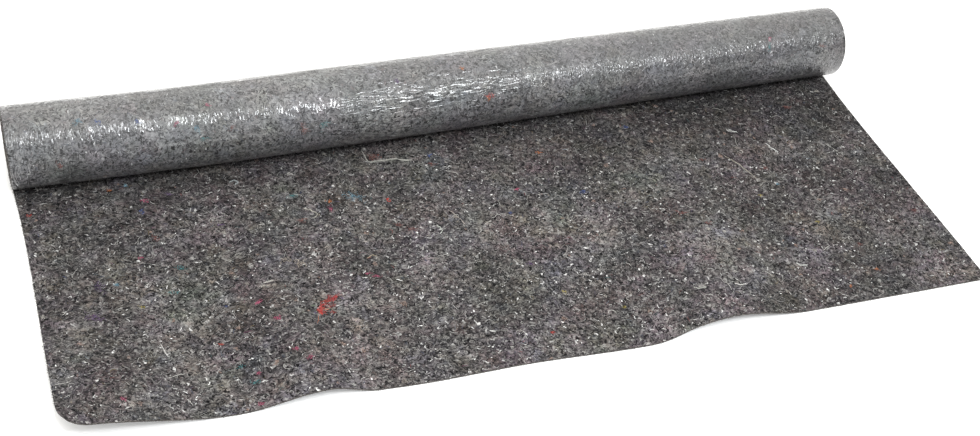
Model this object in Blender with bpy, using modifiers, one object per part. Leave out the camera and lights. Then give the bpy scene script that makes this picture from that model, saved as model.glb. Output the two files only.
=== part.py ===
"""A roll of grey recycled felt, film-backed, with its loose end laid out in front of it.

The cloth is one length, wound from its hidden end. Its last turn comes down the back of the roll,
passes under it and runs out over the floor as the loose end, felt side up.
+X runs along the roll, the loose end points to -Y, and z = 0 is the floor it lies on.
"""

import math
from typing import NamedTuple

import bmesh
import bpy

# The cloth
CLOTH_WIDTH = 1.000  # along the roll
CLOTH_THICKNESS = 0.002

# The roll
ROLL_RADIUS = 0.0448  # of the outermost turn, where it reaches the floor
ROLL_TAPER = -0.0012  # change of that radius from the left end to the right end
ROLL_SETTLE = 0.0005  # how far its own weight presses the roll flat underneath
SWELL = 0.001  # the slacker turns left of the middle stand out by this much
SWELL_AT, SWELL_LEFT, SWELL_RIGHT = -0.18, 0.19, 0.60  # its crest and its reach to either side
BOW = 0.005  # the roll bends this far towards the loose end
BOW_AT, BOW_LEFT, BOW_RIGHT = -0.25, 0.31, 0.71

# The loose end, measured from the roll's axis to the front cut
LOOSE_LEFT = 0.358
LOOSE_RIGHT = 0.385
SIDE_WAIST = 0.003  # the side edges draw in by this much between the roll and the front cut
WAIST_NEAR_ROLL = 0.6  # under 1 brings the waist nearer to the roll
CORNER_RADIUS = 0.027  # the worn front corner on the left
CORNER_LIFT, CORNER_REACH = 0.026, 0.165  # that corner curls up, over this distance

GAP = 0.0004  # between the two solids

ROLL_SIDES = 64
ROLL_STATIONS = 17
SHEET_COLUMNS = 60
SHEET_ROWS = 24


class Stray(NamedTuple):
    """Where the hand-cut front edge strays forward."""

    across: float  # x of its furthest point
    forward: float
    left: float  # half-width towards -X
    right: float  # half-width towards +X


STRAYS = (
    Stray(across=-0.150, forward=0.003, left=0.09, right=0.22),
    Stray(across=0.080, forward=0.007, left=0.16, right=0.06),
)


class Ridge(NamedTuple):
    """A soft fold that starts at the front cut and dies out towards the roll."""

    across: float  # x of its crest at the front cut
    height: float  # at the front cut
    left: float  # half-width towards -X
    right: float  # half-width towards +X
    reach: float  # how far it runs back from the front cut
    lean: float  # x that the crest gains per metre towards the roll


RIDGES = (
    Ridge(across=-0.256, height=0.013, left=0.085, right=0.052, reach=0.24, lean=-0.15),
    Ridge(across=0.178, height=0.014, left=0.085, right=0.095, reach=0.27, lean=0.20),
)


def hump(distance, left, right):
    """1 at the crest, falling smoothly to 0 at the reach on either side."""
    reach = left if distance < 0 else right
    return 0.5 * (1 + math.cos(math.pi * min(abs(distance) / reach, 1)))


def bow(x):
    return -BOW * hump(x - BOW_AT, BOW_LEFT, BOW_RIGHT)


def roll_section(x, turn):
    """(y, z) on the roll at x. turn runs from 0 under the roll, up its back, to 1 under it again."""
    outermost = ROLL_RADIUS + ROLL_TAPER * x + SWELL * hump(x - SWELL_AT, SWELL_LEFT, SWELL_RIGHT)
    radius = outermost - (CLOTH_THICKNESS + GAP - ROLL_SETTLE) * turn
    angle = math.tau * turn
    z = outermost - ROLL_SETTLE - radius * math.cos(angle)
    rests_on = 0 if turn < 0.5 else CLOTH_THICKNESS + GAP
    return bow(x) + radius * math.sin(angle), max(z, rests_on)


def loose_length(x):
    share = x / CLOTH_WIDTH + 0.5
    straight = LOOSE_LEFT + (LOOSE_RIGHT - LOOSE_LEFT) * share
    return straight + sum(s.forward * hump(x - s.across, s.left, s.right) for s in STRAYS)


def sheet_height(x, y):
    """Height of the loose end's underside, 0 where it lies flat."""
    from_cut = y + loose_length(x)
    height = 0
    for ridge in RIDGES:
        side = hump(x - ridge.across - ridge.lean * from_cut, ridge.left, ridge.right)
        height += ridge.height * side * hump(from_cut, ridge.reach, ridge.reach)
    from_corner = math.hypot(x + CLOTH_WIDTH / 2, y + LOOSE_LEFT)
    return height + CORNER_LIFT * hump(from_corner, CORNER_REACH, CORNER_REACH)


def sheet_point(across, along):
    """The loose end's underside, with across and along from 0 to 1, from the roll to the front cut."""
    x = CLOTH_WIDTH * (across - 0.5)
    start = bow(x) - GAP
    from_side = x + CLOTH_WIDTH / 2
    from_cut = (1 - along) * (loose_length(x) + start)
    if from_side < CORNER_RADIUS and from_cut < CORNER_RADIUS:
        # The square corner of the grid is eased onto the round one.
        a = 1 - from_side / CORNER_RADIUS
        b = 1 - from_cut / CORNER_RADIUS
        from_side = CORNER_RADIUS * (1 - a * math.sqrt(1 - b * b / 2))
        from_cut = CORNER_RADIUS * (1 - b * math.sqrt(1 - a * a / 2))
        x = from_side - CLOTH_WIDTH / 2
    y = from_cut - loose_length(x)
    x *= 1 - 2 * SIDE_WAIST / CLOTH_WIDTH * math.sin(math.pi * along**WAIST_NEAR_ROLL) ** 2
    return x, y, sheet_height(x, y)


def make_material(name, colour, roughness):
    material = bpy.data.materials.new(name)
    material.use_nodes = True
    shader = material.node_tree.nodes["Principled BSDF"]
    shader.inputs["Base Color"].default_value = (*colour, 1)
    shader.inputs["Roughness"].default_value = roughness
    shader.inputs["Metallic"].default_value = 0
    material.diffuse_color = (*colour, 1)
    return material


def add_object(name, mesh_builder, material, collection):
    mesh = bpy.data.meshes.new(name)
    mesh_builder.to_mesh(mesh)
    mesh_builder.free()
    mesh.materials.append(material)
    mesh.shade_smooth()
    mesh.set_sharp_from_angle(angle=math.radians(40))
    made = bpy.data.objects.new(name, mesh)
    collection.objects.link(made)
    return made


def make_roll(collection):
    """A cylinder cut into stations, with each ring moved onto the roll's section there."""
    built = bmesh.new()
    bmesh.ops.create_cone(
        built,
        cap_ends=True,
        segments=ROLL_SIDES,
        radius1=1,
        radius2=1,
        depth=CLOTH_WIDTH,
    )
    lengthwise = [e for e in built.edges if abs(e.verts[0].co.z - e.verts[1].co.z) > CLOTH_WIDTH / 2]
    bmesh.ops.subdivide_edges(built, edges=lengthwise, cuts=ROLL_STATIONS - 2, use_grid_fill=True)
    for vertex in built.verts:
        x = vertex.co.z
        corner = round(math.atan2(vertex.co.y, vertex.co.x) / math.tau * ROLL_SIDES) % ROLL_SIDES
        vertex.co = (x, *roll_section(x, corner / (ROLL_SIDES - 1)))
    return add_object("wound_roll", built, make_material("film side", (0.33, 0.33, 0.33), 0.35), collection)


def make_loose_end(collection):
    """A grid laid over the floor and its folds, given the cloth's thickness."""
    built = bmesh.new()
    bmesh.ops.create_grid(built, x_segments=SHEET_COLUMNS, y_segments=SHEET_ROWS, size=0.5)
    for vertex in built.verts:
        vertex.co = sheet_point(vertex.co.x + 0.5, 0.5 - vertex.co.y)
    loose = add_object("loose_end", built, make_material("felt side", (0.14, 0.13, 0.125), 0.95), collection)
    thickness = loose.modifiers.new("Cloth thickness", "SOLIDIFY")
    thickness.thickness = CLOTH_THICKNESS
    thickness.offset = 1
    return loose


def main():
    for old in list(bpy.data.objects):
        bpy.data.objects.remove(old, do_unlink=True)
    collection = bpy.data.collections.new("Roll of felt")
    bpy.context.scene.collection.children.link(collection)
    roll = make_roll(collection)
    loose = make_loose_end(collection)

    # Both stand with the middle of the whole thing's depth at y = 0.
    back = max(v.co.y for v in roll.data.vertices)
    front = min(v.co.y for v in loose.data.vertices)
    for made in (roll, loose):
        made.location.y = -(back + front) / 2


main()
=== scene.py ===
"""A roll of grey recycled felt with a clear film back, its loose end laid out in front of it.

Metres, in the CAD's frame: +X along the roll, the loose end towards -Y, the floor at z = 0.
"""

import math
from typing import NamedTuple

import bpy
import numpy as np
from mathutils import Matrix, Vector


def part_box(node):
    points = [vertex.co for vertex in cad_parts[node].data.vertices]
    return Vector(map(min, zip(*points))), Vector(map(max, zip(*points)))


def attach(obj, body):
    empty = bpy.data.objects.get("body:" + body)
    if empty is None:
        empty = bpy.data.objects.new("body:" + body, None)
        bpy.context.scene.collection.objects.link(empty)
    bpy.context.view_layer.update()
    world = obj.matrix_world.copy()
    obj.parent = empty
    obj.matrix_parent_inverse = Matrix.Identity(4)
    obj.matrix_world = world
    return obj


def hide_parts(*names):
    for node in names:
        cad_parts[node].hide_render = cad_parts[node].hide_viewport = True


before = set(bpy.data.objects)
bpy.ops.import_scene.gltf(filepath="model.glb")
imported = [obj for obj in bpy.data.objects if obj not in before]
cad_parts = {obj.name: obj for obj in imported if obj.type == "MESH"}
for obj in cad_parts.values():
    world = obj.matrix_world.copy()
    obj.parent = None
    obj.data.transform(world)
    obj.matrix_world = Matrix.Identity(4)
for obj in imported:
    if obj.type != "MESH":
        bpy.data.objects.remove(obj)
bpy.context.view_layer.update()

# The cloth, in the CAD's sizes
CLOTH_WIDTH = 1.000
CLOTH_THICKNESS = 0.002
ROLL_RADIUS = 0.0448
ROLL_TAPER = -0.0012
ROLL_SETTLE = 0.0005
SWELL = 0.001
SWELL_AT, SWELL_LEFT, SWELL_RIGHT = -0.18, 0.19, 0.60
BOW = 0.005
BOW_AT, BOW_LEFT, BOW_RIGHT = -0.25, 0.31, 0.71
LOOSE_LEFT = 0.358
LOOSE_RIGHT = 0.385
SIDE_WAIST = 0.003
WAIST_NEAR_ROLL = 0.6
CORNER_RADIUS = 0.027
CORNER_LIFT, CORNER_REACH = 0.026, 0.165
GAP = 0.0004  # between the CAD's two solids

# The winding
TURN_PITCH = 0.0021  # a turn of cloth and the air under it
TURN_DEPTH = CLOTH_THICKNESS - 0.0001  # of one turn, so that the turns stay clear of each other
OUTER_TURNS = 1.2  # the finely made part of the winding, from where the loose end leaves it
EYE_RADIUS = 0.0045
ALL_TURNS = (ROLL_RADIUS - EYE_RADIUS) / TURN_PITCH
END_SLIPS = ((0.0007, 0.45), (0.0006, 2.7))  # how far turns stand out at the ends, over so many turns

# Uneven thickness, in layers: the lumps' size along x, their size across it, and their height
FELT_LUMPS = ((0.0210, 0.0190, 0.00016), (0.0105, 0.0115, 0.00016), (0.0052, 0.0048, 0.00012))
FILM_LUMPS = ((0.0160, 0.0130, 0.00018), (0.0072, 0.0085, 0.00012))

# The film's creases: fine hoops round the roll, and folds along it where the film is slack
HOOP_SIZE, HOOP_HEIGHT = (0.0075, 0.028), 0.00013
FOLD_SIZE, FOLD_HEIGHT = (0.034, 0.0065), 0.00034
SLACK_AT, SLACK_LEFT, SLACK_RIGHT = -0.05, 0.19, 0.24
SLACK_ARC, SLACK_BELOW, SLACK_ABOVE = 0.176, 0.05, 0.04  # the same, by the distance round the roll

# Meshes
SHEET_COLUMNS, SHEET_ROWS, SHEET_UNDER_ROWS = 480, 175, 25
ROLL_COLUMNS, ROLL_ROWS, ROLL_UNDER_ROWS = 520, 150, 30


class Stray(NamedTuple):
    """Where the hand-cut front edge strays forward."""

    across: float
    forward: float
    left: float
    right: float


STRAYS = (
    Stray(across=-0.150, forward=0.003, left=0.09, right=0.22),
    Stray(across=0.080, forward=0.007, left=0.16, right=0.06),
)


class Ridge(NamedTuple):
    """A soft fold that starts at the front cut and dies out towards the roll."""

    across: float
    height: float
    left: float
    right: float
    reach: float
    lean: float


RIDGES = (
    Ridge(across=-0.256, height=0.013, left=0.085, right=0.052, reach=0.24, lean=-0.15),
    Ridge(across=0.178, height=0.014, left=0.085, right=0.095, reach=0.27, lean=0.20),
)


def hump(distance, left, right):
    """1 at the crest, falling smoothly to 0 at the reach on either side."""
    reach = np.where(distance < 0, left, right)
    return 0.5 * (1 + np.cos(math.pi * np.minimum(np.abs(distance) / reach, 1)))


def smoothstep(value):
    value = np.clip(value, 0, 1)
    return value * value * (3 - 2 * value)


def lattice_noise(x, y, size_x, size_y, seed):
    """Smooth noise from -1 to 1 with features of these sizes."""
    values = np.random.default_rng(seed).uniform(-1, 1, (256, 256))
    column, row = np.floor(x / size_x).astype(int), np.floor(y / size_y).astype(int)
    u, v = smoothstep(x / size_x - column), smoothstep(y / size_y - row)
    near = values[column % 256, row % 256] * (1 - u) + values[(column + 1) % 256, row % 256] * u
    far = values[column % 256, (row + 1) % 256] * (1 - u)
    far = far + values[(column + 1) % 256, (row + 1) % 256] * u
    return near * (1 - v) + far * v


# ---------------- the loose end's form


def bow(x):
    return -BOW * hump(x - BOW_AT, BOW_LEFT, BOW_RIGHT)


def roll_radius(x):
    return ROLL_RADIUS + ROLL_TAPER * x + SWELL * hump(x - SWELL_AT, SWELL_LEFT, SWELL_RIGHT)


def roll_back():
    """How far the roll reaches behind its axis."""
    x, turn = np.meshgrid(np.linspace(-0.5, 0.5, 201), np.linspace(0, 0.5, 201))
    shrink = (CLOTH_THICKNESS + GAP - ROLL_SETTLE) * turn
    return (bow(x) + (roll_radius(x) - shrink) * np.sin(math.tau * turn)).max()


AXIS_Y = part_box("wound_roll")[1].y - roll_back()


def loose_length(x):
    share = x / CLOTH_WIDTH + 0.5
    straight = LOOSE_LEFT + (LOOSE_RIGHT - LOOSE_LEFT) * share
    return straight + sum(s.forward * hump(x - s.across, s.left, s.right) for s in STRAYS)


def sheet_height(x, y):
    """Height of the loose end's underside, with y from the roll's axis."""
    from_cut = y + loose_length(x)
    height = 0
    for ridge in RIDGES:
        side = hump(x - ridge.across - ridge.lean * from_cut, ridge.left, ridge.right)
        height = height + ridge.height * side * hump(from_cut, ridge.reach, ridge.reach)
    from_corner = np.hypot(x + CLOTH_WIDTH / 2, y + LOOSE_LEFT)
    return height + CORNER_LIFT * hump(from_corner, CORNER_REACH, CORNER_REACH)


def lumps(x, y, layers, seed):
    """Uneven thickness, the sum of the layers. Each has a seed of its own, from this one on."""
    forms = enumerate(layers, seed)
    return sum(height * lattice_noise(x, y, *size, own_seed) for own_seed, (*size, height) in forms)


def spread_over(points, count):
    """So many points, spread evenly over the stretches between the given ones."""
    share, at = np.linspace(0, 1, len(points)), np.linspace(0, 1, count)
    return np.stack([np.interp(at, share, part) for part in np.transpose(points)], axis=1)


def sheet_point(across, along, above=0.0):
    """A point at a height above the loose end's underside. along runs from the roll to the cut."""
    x = CLOTH_WIDTH * (across - 0.5)
    start = bow(x)
    from_side = x + CLOTH_WIDTH / 2
    from_cut = (1 - along) * (loose_length(x) + start)
    a = np.clip(1 - from_side / CORNER_RADIUS, 0, 1)
    b = np.clip(1 - from_cut / CORNER_RADIUS, 0, 1)
    in_corner = (a > 0) & (b > 0)
    rounded_side = CORNER_RADIUS * (1 - a * np.sqrt(1 - b * b / 2))
    rounded_cut = CORNER_RADIUS * (1 - b * np.sqrt(1 - a * a / 2))
    x = np.where(in_corner, rounded_side - CLOTH_WIDTH / 2, x)
    from_cut = np.where(in_corner, rounded_cut, from_cut)
    y = from_cut - loose_length(x)
    waist = np.sin(math.pi * np.clip(along, 0, 1) ** WAIST_NEAR_ROLL) ** 2
    x = x * (1 - 2 * SIDE_WAIST / CLOTH_WIDTH * waist)
    return np.stack([x, y + AXIS_Y, sheet_height(x, y) + above], axis=-1)


def sheet_top(across, along, above=0.0):
    """A point at a height above the felt's surface, which is even next to the roll."""
    uneven = lumps(CLOTH_WIDTH * across, LOOSE_RIGHT * along, FELT_LUMPS, 1) * smoothstep(along / 0.05)
    return sheet_point(across, along, CLOTH_THICKNESS + uneven + above)


# ---------------- the roll's form


def roll_point(x, turn, depth):
    """A point at a depth under the film, after so many turns from the loose end."""
    radius = roll_radius(x) - TURN_PITCH * turn - depth
    angle = math.tau * turn
    z = roll_radius(x) - ROLL_SETTLE - radius * np.cos(angle)
    z = np.maximum(z, TURN_PITCH * np.round(turn) + depth)
    y = AXIS_Y + bow(x) + radius * np.sin(angle)
    return np.stack([x + 0 * turn, y, z], axis=-1)


class Crease(NamedTuple):
    """A crease in the film, through points (x, distance round the roll from the loose end)."""

    points: tuple
    height: float = 0.00063  # or, if negative, the depth of a furrow
    half_width: float = 0.0021


CREASES = (
    Crease(((-0.198, 0.1784), (-0.196, 0.1700), (-0.192, 0.1625)), 0.0009, 0.0022),
    Crease(((-0.191, 0.1783), (-0.192, 0.1706), (-0.190, 0.1640)), 0.00075, 0.0020),
    Crease(((-0.212, 0.1755), (-0.207, 0.1728), (-0.201, 0.1693))),
    Crease(((-0.214, 0.1709), (-0.208, 0.1684), (-0.202, 0.1658))),
    Crease(((-0.220, 0.1776), (-0.211, 0.1832), (-0.202, 0.1866)), 0.0009),
    Crease(((-0.189, 0.1895), (-0.183, 0.1892), (-0.176, 0.1890)), 0.0009),
    Crease(((-0.189, 0.1850), (-0.183, 0.1837), (-0.177, 0.1834))),
    Crease(
        ((-0.170, 0.1723), (-0.164, 0.1685), (-0.156, 0.1674), (-0.151, 0.1726), (-0.147, 0.1807)),
        0.00075,
    ),
    Crease(((-0.168, 0.1780), (-0.159, 0.1803), (-0.150, 0.1858)), 0.00075),
    Crease(((-0.147, 0.1796), (-0.132, 0.1794), (-0.119, 0.1800), (-0.104, 0.1798), (-0.092, 0.1836))),
    Crease(((-0.140, 0.1717), (-0.124, 0.1716), (-0.108, 0.1703), (-0.090, 0.1715))),
    Crease(((-0.143, 0.1758), (-0.120, 0.1754), (-0.095, 0.1764))),
    Crease(((-0.097, 0.1729), (-0.079, 0.1707), (-0.062, 0.1707), (-0.052, 0.1707))),
    Crease(((-0.092, 0.1780), (-0.075, 0.1780), (-0.058, 0.1790))),
    Crease(((-0.060, 0.1721), (-0.057, 0.1769), (-0.054, 0.1818)), -0.0009, 0.0019),
    Crease(((-0.049, 0.1745), (-0.033, 0.1733), (-0.015, 0.1744), (0.003, 0.1744))),
    Crease(((-0.043, 0.1697), (-0.023, 0.1687), (-0.004, 0.1688), (0.010, 0.1695))),
    Crease(((0.015, 0.1760), (0.034, 0.1726), (0.059, 0.1734))),
    Crease(((0.065, 0.1719), (0.090, 0.1715), (0.109, 0.1715))),
    Crease(((0.066, 0.1467), (0.065, 0.1541), (0.064, 0.1607)), -0.00075, 0.0019),
    Crease(((0.088, 0.1547), (0.094, 0.1609), (0.100, 0.1667)), -0.0006, 0.0019),
    Crease(((-0.139, 0.1862), (-0.127, 0.1868), (-0.113, 0.1875))),
    Crease(((-0.085, 0.1856), (-0.069, 0.1855), (-0.052, 0.1832))),
)


def crease_relief(x, arc, crease):
    """The height of one crease, tapering to nothing at its ends."""
    line = spread_over(crease.points, 25)
    low, high = line.min(axis=0) - crease.half_width, line.max(axis=0) + crease.half_width
    near = (x > low[0]) & (x < high[0]) & (arc > low[1]) & (arc < high[1])
    away = np.hypot(x[near][:, None] - line[:, 0], arc[near][:, None] - line[:, 1])
    share = away.argmin(axis=1) / (len(line) - 1)
    taper = np.sin(math.pi * np.clip(share, 0.04, 0.96)) ** 0.5
    relief = np.zeros(x.shape)
    relief[near] = crease.height * taper * hump(away.min(axis=1), crease.half_width, crease.half_width)
    return relief


def film_relief(x, arc):
    """How far the film stands out where the felt under it is lumpy and where it is creased."""
    hoops = 1 - np.abs(lattice_noise(x, arc, *HOOP_SIZE, 13))
    bent = x + 0.006 * lattice_noise(x, arc, 0.03, 0.02, 14)
    folds = 1 - np.abs(lattice_noise(bent, arc + 0.12 * x, *FOLD_SIZE, 15))
    slack = hump(x - SLACK_AT, SLACK_LEFT, SLACK_RIGHT) * hump(arc - SLACK_ARC, SLACK_BELOW, SLACK_ABOVE)
    relief = lumps(x, arc, FILM_LUMPS, 11)
    relief = relief + HOOP_HEIGHT * hoops**3 * (1 - slack) + FOLD_HEIGHT * slack * folds**4
    return relief + sum(crease_relief(x, arc, crease) for crease in CREASES)


# ---------------- meshes


def mesh_object(name, points, faces, materials, face_material=None):
    """faces is a list of equal-width index arrays."""
    mesh = bpy.data.meshes.new(name)
    mesh.vertices.add(len(points))
    mesh.vertices.foreach_set("co", np.asarray(points, np.float32).ravel())
    corners = np.concatenate([f.ravel() for f in faces]).astype(np.int32)
    sizes = np.concatenate([np.full(len(f), f.shape[1]) for f in faces])
    mesh.loops.add(len(corners))
    mesh.loops.foreach_set("vertex_index", corners)
    mesh.polygons.add(len(sizes))
    mesh.polygons.foreach_set("loop_start", (np.cumsum(sizes) - sizes).astype(np.int32))
    mesh.polygons.foreach_set("use_smooth", np.ones(len(sizes), bool))
    for material in materials:
        mesh.materials.append(material)
    if face_material is not None:
        mesh.polygons.foreach_set("material_index", np.concatenate(face_material).astype(np.int32))
    mesh.update(calc_edges=True)
    mesh.validate()
    made = bpy.data.objects.new(name, mesh)
    bpy.context.scene.collection.objects.link(made)
    return made


def store(made, name, values):
    """Keeps a vector for each vertex, for the material to read."""
    attribute = made.data.attributes.new(name, "FLOAT_VECTOR", "POINT")
    attribute.data.foreach_set("vector", np.asarray(values, np.float32).ravel())


def grid_faces(first, rows, columns):
    """Quads over points numbered row by row."""
    corner = first + np.arange((rows - 1) * columns).reshape(rows - 1, columns)[:, :-1].ravel()
    return np.stack([corner, corner + columns, corner + columns + 1, corner + 1], axis=1)


def fan_faces(fine, coarse):
    """Triangles between a fine edge and a coarse one that runs beside it."""
    ratio = (len(fine) - 1) // (len(coarse) - 1)
    faces = []
    for step in range(len(coarse) - 1):
        for part in range(ratio):
            at = step * ratio + part
            faces.append((coarse[step], fine[at], fine[at + 1]))
        faces.append((coarse[step], fine[(step + 1) * ratio], coarse[step + 1]))
    return np.array(faces)


def make_slab(name, upper, under, place, materials):
    """A thin closed body. Its grids hold [row, column] points; the under one has fewer rows."""
    rows, columns = upper.shape[:2]
    under_rows = len(under)
    first_under = rows * columns
    top = np.arange(first_under).reshape(rows, columns)
    low = first_under + np.arange(under_rows * columns).reshape(under_rows, columns)
    skin = grid_faces(0, rows, columns)
    lining = grid_faces(first_under, under_rows, columns)[:, ::-1]
    start = np.stack([low[0, 1:], low[0, :-1], top[0, :-1], top[0, 1:]], axis=1)
    end = np.stack([low[-1, :-1], low[-1, 1:], top[-1, 1:], top[-1, :-1]], axis=1)
    left = fan_faces(top[:, 0], low[:, 0])[:, ::-1]
    right = fan_faces(top[:, -1], low[:, -1])
    faces = [skin, lining, start, end, left, right]
    of_material = [np.full(len(f), 0 if f is skin else 1 if f is lining else 2) for f in faces]
    every = (rows - 1) // (under_rows - 1)
    both = np.concatenate([upper, under]).reshape(-1, 3)
    made = mesh_object(name, both, faces, materials, of_material)
    store(made, "cloth_place", np.concatenate([place, place[::every] + (0, 0, -CLOTH_THICKNESS)]))
    made.data.set_sharp_from_angle(angle=math.radians(50))
    return made


def make_loose_end(materials):
    across, along = np.meshgrid(np.linspace(0, 1, SHEET_COLUMNS + 1), np.linspace(0, 1, SHEET_ROWS + 1))
    place = np.stack([across * CLOTH_WIDTH, along * LOOSE_RIGHT, 0 * along], axis=-1)
    every = SHEET_ROWS // SHEET_UNDER_ROWS
    under = sheet_point(across[::every], along[::every])
    return make_slab("loose_end_cloth", sheet_top(across, along), under, place, materials)


def make_outer_turn(materials):
    x = np.linspace(-0.5, 0.5, ROLL_COLUMNS + 1) * CLOTH_WIDTH
    x, turn = np.meshgrid(x, np.linspace(0, OUTER_TURNS, ROLL_ROWS + 1))
    arc = turn * math.tau * ROLL_RADIUS
    # The relief fades where the loose end leaves the roll, and again before the next turn covers it.
    shown = smoothstep(turn / 0.04) * smoothstep((0.985 - turn) / 0.03)
    upper = roll_point(x, turn, -film_relief(x, arc) * shown)
    every = ROLL_ROWS // ROLL_UNDER_ROWS
    under = roll_point(x[::every], turn[::every], TURN_DEPTH)
    return make_slab("outer_turn_cloth", upper, under, np.stack([x, arc, 0 * arc], axis=-1), materials)


def make_inner_turns(materials):
    """The rest of the winding, down to its eye, with its turns a little out of line at the ends."""
    per_turn, stations = 48, 13
    turn = np.linspace(OUTER_TURNS, ALL_TURNS, int(per_turn * (ALL_TURNS - OUTER_TURNS)) + 1)
    x, turn = np.meshgrid(np.linspace(-0.5, 0.5, stations) * CLOTH_WIDTH, turn)
    begun = smoothstep((turn - OUTER_TURNS) / 0.3)
    slips = enumerate(END_SLIPS, 21)
    slip = begun * sum(far * lattice_noise(turn, 0 * turn, size, 1, seed) for seed, (far, size) in slips)
    x_moved = x + np.where(np.abs(x) > 0.49 * CLOTH_WIDTH, slip * np.sign(x), 0)
    slack = 0.00012 * lattice_noise(turn, x, 0.31, 0.4, 23) * begun
    upper = roll_point(x_moved, turn, slack)
    under = roll_point(x_moved, turn, TURN_DEPTH + slack)
    place = np.stack([x, turn * math.tau * ROLL_RADIUS, 0 * turn], axis=-1)
    return make_slab("inner_turns_cloth", upper, under, place, materials)


# ---------------- materials


class Tree:
    """A material's nodes, made by short calls."""

    def __init__(self, name, kind=bpy.data.materials):
        self.material = kind.new(name)
        self.material.use_nodes = True
        self.nodes = self.material.node_tree.nodes
        self.links = self.material.node_tree.links
        self.shader = self.nodes.get("Principled BSDF")

    def put(self, socket, value):
        if isinstance(value, bpy.types.NodeSocket):
            self.links.new(value, socket)
        else:
            socket.default_value = value

    def add(self, kind, inputs=(), **settings):
        made = self.nodes.new("ShaderNode" + kind)
        for name, value in settings.items():
            setattr(made, name, value)
        for name, value in dict(inputs).items():
            self.put(made.inputs[name], value)
        return made

    def attribute(self, name, output="Vector"):
        return self.add("Attribute", attribute_name=name).outputs[output]

    def math(self, operation, first, second=0.0, third=0.0, clamp=False):
        made = self.add("Math", {0: first, 1: second, 2: third}, operation=operation, use_clamp=clamp)
        return made.outputs[0]

    def plus(self, first, second):
        return self.math("ADD", first, second)

    def minus(self, first, second):
        return self.math("SUBTRACT", first, second)

    def times(self, first, second):
        return self.math("MULTIPLY", first, second)

    def grey(self, level):
        return self.add("CombineColor", {0: level, 1: level, 2: level}).outputs[0]

    def scaled(self, place, stretch):
        return self.add("Mapping", {"Vector": place, "Scale": stretch}).outputs[0]

    def field(self, place, scale, detail):
        """Noise with a value of its own in each channel."""
        return self.add("TexNoise", {"Vector": place, "Scale": scale, "Detail": detail}).outputs["Color"]

    def swung(self, place, field, reach):
        """A place moved by a field."""
        move = self.add("VectorMath", {0: field, 1: (reach,) * 3}, operation="MULTIPLY").outputs[0]
        return self.add("VectorMath", {0: place, 1: move}, operation="ADD").outputs[0]

    def noise(self, place, scale, detail, roughness, distortion=0.0):
        inputs = {"Vector": place, "Scale": scale, "Detail": detail}
        inputs |= {"Roughness": roughness, "Distortion": distortion}
        return self.add("TexNoise", inputs).outputs["Fac"]

    def cells(self, place, scale):
        inputs = {"Vector": place, "Scale": scale, "Randomness": 1.0}
        made = self.add("TexVoronoi", inputs, voronoi_dimensions="2D")
        return made.outputs["Distance"], made.outputs["Color"]

    def ranged(self, value, low, high, to_low=0.0, to_high=1.0):
        inputs = {"Value": value, "From Min": low, "From Max": high}
        inputs |= {"To Min": to_low, "To Max": to_high}
        return self.add("MapRange", inputs, interpolation_type="SMOOTHSTEP").outputs[0]

    def mix(self, share, first, second, blend="MIX"):
        made = self.add("Mix", data_type="RGBA", blend_type=blend)
        self.put(made.inputs[0], share)
        self.put(made.inputs[6], first)
        self.put(made.inputs[7], second)
        return made.outputs[2]

    def bump(self, height, distance):
        return self.add("Bump", {"Height": height, "Distance": distance, "Strength": 1.0}).outputs[0]

    def ramp(self, value, stops, interpolation="LINEAR"):
        """The colour and alpha between the stops (position, colour, alpha, which may be left out)."""
        made = self.add("ValToRGB", {0: value})
        made.color_ramp.interpolation = interpolation
        elements = made.color_ramp.elements
        for index, (at, colour, *alpha) in enumerate(stops):
            element = elements[index] if index < 2 else elements.new(at)
            element.position = at
            element.color = (*colour, *(alpha or [1]))
        return made.outputs

    def laid(self, place, turn, stretch, offset=(0, 0, 0)):
        """A place in a frame that is turned and stretched."""
        inputs = {"Vector": place, "Rotation": turn, "Scale": (1, stretch, 1), "Location": offset}
        return self.add("Mapping", inputs, vector_type="TEXTURE").outputs[0]

    def ridges(self, place, scale):
        """Sharp-crested creases with smooth flanks."""
        field = self.noise(place, scale, 0.6, 0.5, 0.9)
        return self.math("ABSOLUTE", self.minus(field, 0.5))

    def streaks(self, place, turn, scale):
        """Fine strands that all lie the way of their own patch, whose turn goes from 0 to 1."""
        angle = self.add("CombineXYZ", {2: self.times(turn, math.tau)}).outputs[0]
        return self.noise(self.laid(place, angle, 3.2), scale, 1.5, 0.6, 0.25)

    def dashes(self, under, place, form, classes):
        """Short strokes of one form that lie one way over a colour, each of one of the classes."""
        scale, stretch, turn, radius, offset = form
        distance, random = self.cells(self.laid(place, (0, 0, turn), stretch, offset), scale)
        inside = self.ranged(distance, radius * 0.75, radius * 1.15, 1.0, 0.0)
        drawn = self.add("SeparateColor", {0: random}).outputs[0]
        colour, cover = self.ramp(drawn, classes, "CONSTANT")
        return self.mix(self.times(inside, cover), under, colour)

    def surface(self, values):
        """Sets or links the shader's inputs, and gives the material."""
        for name, value in values.items():
            self.put(self.shader.inputs[name], value)
        return self.material


class Look(NamedTuple):
    """How the cloth's surface is coloured. A stroke or speck is of the class its random value falls in."""

    tones: tuple  # the value of the tone, and the colour there
    contrast: float  # of the soft patches
    tint: float  # of the soft patches
    strokes: tuple  # the share at which each class starts, its colour and its cover
    specks: tuple


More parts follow.
